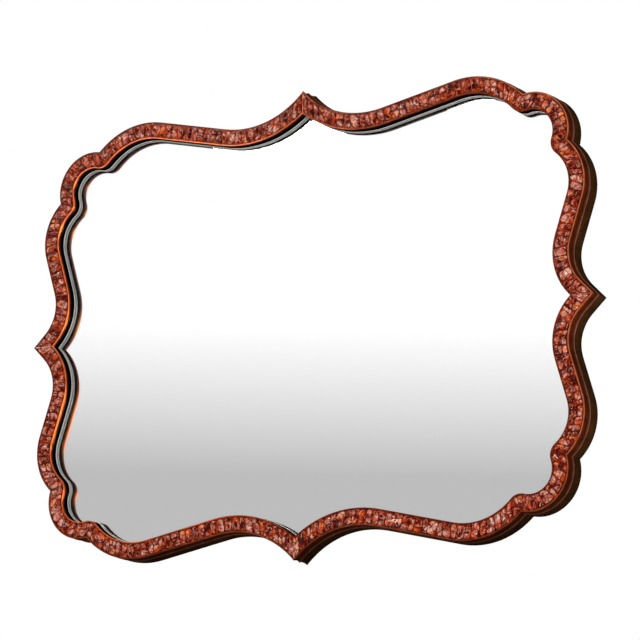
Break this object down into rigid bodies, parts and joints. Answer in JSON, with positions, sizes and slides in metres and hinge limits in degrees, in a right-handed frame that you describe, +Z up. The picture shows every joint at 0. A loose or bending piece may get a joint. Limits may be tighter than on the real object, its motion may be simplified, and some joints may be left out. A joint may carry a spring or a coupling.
{
  "type": "wall mirror",
  "caption": "Wide scalloped wall mirror with a narrow red-brown mosaic frame, thin copper edging, recessed glass and hanging rings on the back.",
  "frame": {"origin": "middle of the outline, on the wall plane that the frame's back rim touches", "axes": "+X to the right seen from the room, +Y into the wall, +Z up; the glass faces -Y"},
  "size_m": [1.0202, 0.045, 0.7584],
  "materials": {
    "core_wood": "raw sanded softwood",
    "tongue_wood": "raw beech",
    "outer_strip": "dark brown patina, satin",
    "inner_strip": "copper brown patina, satin",
    "resin": "dark red resin, glossy",
    "mosaic_chips": "red amber resin chips, glossy",
    "solder": "rubbed solder line",
    "mirror_glass": "polished float glass",
    "silver_coat": "silvered",
    "glazing_tape": "white foam tape",
    "back_panel": "brown hardboard",
    "zinc_steel": "zinc plated",
    "screw_steel": "zinc plated, cross recess",
    "turn_button": "brass plated"
  },
  "bodies": {
    "mirror_frame": {"core_top_right": "core_wood", "outer_strip_top_right": "outer_strip", "inner_strip_top_right": "inner_strip", "resin_bed_top_right": "resin", "resin_grout_top_right": "resin", "mosaic_chips_top_right": "mosaic_chips", "core_top_left": "core_wood", "outer_strip_top_left": "outer_strip", "inner_strip_top_left": "inner_strip", "resin_bed_top_left": "resin", "resin_grout_top_left": "resin", "mosaic_chips_top_left": "mosaic_chips", "core_bottom_left": "core_wood", "outer_strip_bottom_left": "outer_strip", "inner_strip_bottom_left": "inner_strip", "resin_bed_bottom_left": "resin", "resin_grout_bottom_left": "resin", "mosaic_chips_bottom_left": "mosaic_chips", "core_bottom_right": "core_wood", "outer_strip_bottom_right": "outer_strip", "inner_strip_bottom_right": "inner_strip", "resin_bed_bottom_right": "resin", "resin_grout_bottom_right": "resin", "mosaic_chips_bottom_right": "mosaic_chips", "solder_strip_top": "solder", "joint_tongue_top": "tongue_wood", "corner_brace_top": "zinc_steel", "solder_strip_bottom": "solder", "joint_tongue_bottom": "tongue_wood", "corner_brace_bottom": "zinc_steel", "solder_strip_left": "solder", "joint_tongue_left": "tongue_wood", "corner_brace_left": "zinc_steel", "solder_strip_right": "solder", "joint_tongue_right": "tongue_wood", "corner_brace_right": "zinc_steel", "glazing_tape": "glazing_tape", "mirror_glass": "mirror_glass", "silver_coat": "silver_coat", "back_panel": "back_panel", "brace_screws": "screw_steel", "button_screws": "screw_steel", "strap_screws": "screw_steel", "strap_hanger_left": "zinc_steel", "strap_hanger_right": "zinc_steel"},
    "turn_button_top_right_shoulder": {"turn_button_top_right_shoulder": "turn_button"},
    "turn_button_top_right_waist": {"turn_button_top_right_waist": "turn_button"},
    "turn_button_top_left_shoulder": {"turn_button_top_left_shoulder": "turn_button"},
    "turn_button_top_left_waist": {"turn_button_top_left_waist": "turn_button"},
    "turn_button_bottom_left_shoulder": {"turn_button_bottom_left_shoulder": "turn_button"},
    "turn_button_bottom_left_waist": {"turn_button_bottom_left_waist": "turn_button"},
    "turn_button_bottom_right_shoulder": {"turn_button_bottom_right_shoulder": "turn_button"},
    "turn_button_bottom_right_waist": {"turn_button_bottom_right_waist": "turn_button"},
    "d_ring_left": {"d_ring_left": "zinc_steel"},
    "d_ring_right": {"d_ring_right": "zinc_steel"}
  },
  "joints": [
    {"name": "turn_button_top_right_shoulder_turn", "type": "hinge", "parent": "mirror_frame", "child": "turn_button_top_right_shoulder", "pos_m": [0.29693, -0.0136, 0.34774], "axis": [0, 1, 0], "range_deg": [-90, 90]},
    {"name": "turn_button_top_right_waist_turn", "type": "hinge", "parent": "mirror_frame", "child": "turn_button_top_right_waist", "pos_m": [0.45396, -0.0136, 0.06801], "axis": [0, 1, 0], "range_deg": [-90, 90]},
    {"name": "turn_button_top_left_shoulder_turn", "type": "hinge", "parent": "mirror_frame", "child": "turn_button_top_left_shoulder", "pos_m": [-0.29693, -0.0136, 0.34774], "axis": [0, 1, 0], "range_deg": [-90, 90]},
    {"name": "turn_button_top_left_waist_turn", "type": "hinge", "parent": "mirror_frame", "child": "turn_button_top_left_waist", "pos_m": [-0.45396, -0.0136, 0.06801], "axis": [0, 1, 0], "range_deg": [-90, 90]},
    {"name": "turn_button_bottom_left_shoulder_turn", "type": "hinge", "parent": "mirror_frame", "child": "turn_button_bottom_left_shoulder", "pos_m": [-0.29693, -0.0136, -0.34774], "axis": [0, 1, 0], "range_deg": [-90, 90]},
    {"name": "turn_button_bottom_left_waist_turn", "type": "hinge", "parent": "mirror_frame", "child": "turn_button_bottom_left_waist", "pos_m": [-0.45396, -0.0136, -0.06801], "axis": [0, 1, 0], "range_deg": [-90, 90]},
    {"name": "turn_button_bottom_right_shoulder_turn", "type": "hinge", "parent": "mirror_frame", "child": "turn_button_bottom_right_shoulder", "pos_m": [0.29693, -0.0136, -0.34774], "axis": [0, 1, 0], "range_deg": [-90, 90]},
    {"name": "turn_button_bottom_right_waist_turn", "type": "hinge", "parent": "mirror_frame", "child": "turn_button_bottom_right_waist", "pos_m": [0.45396, -0.0136, -0.06801], "axis": [0, 1, 0], "range_deg": [-90, 90]},
    {"name": "d_ring_left_swing", "type": "hinge", "parent": "mirror_frame", "child": "d_ring_left", "pos_m": [-0.47825, -0.01197, 0.17206], "axis": [1, 0, 0], "range_deg": [0, 170]},
    {"name": "d_ring_right_swing", "type": "hinge", "parent": "mirror_frame", "child": "d_ring_right", "pos_m": [0.47825, -0.01197, 0.17206], "axis": [1, 0, 0], "range_deg": [0, 170]}
  ]
}
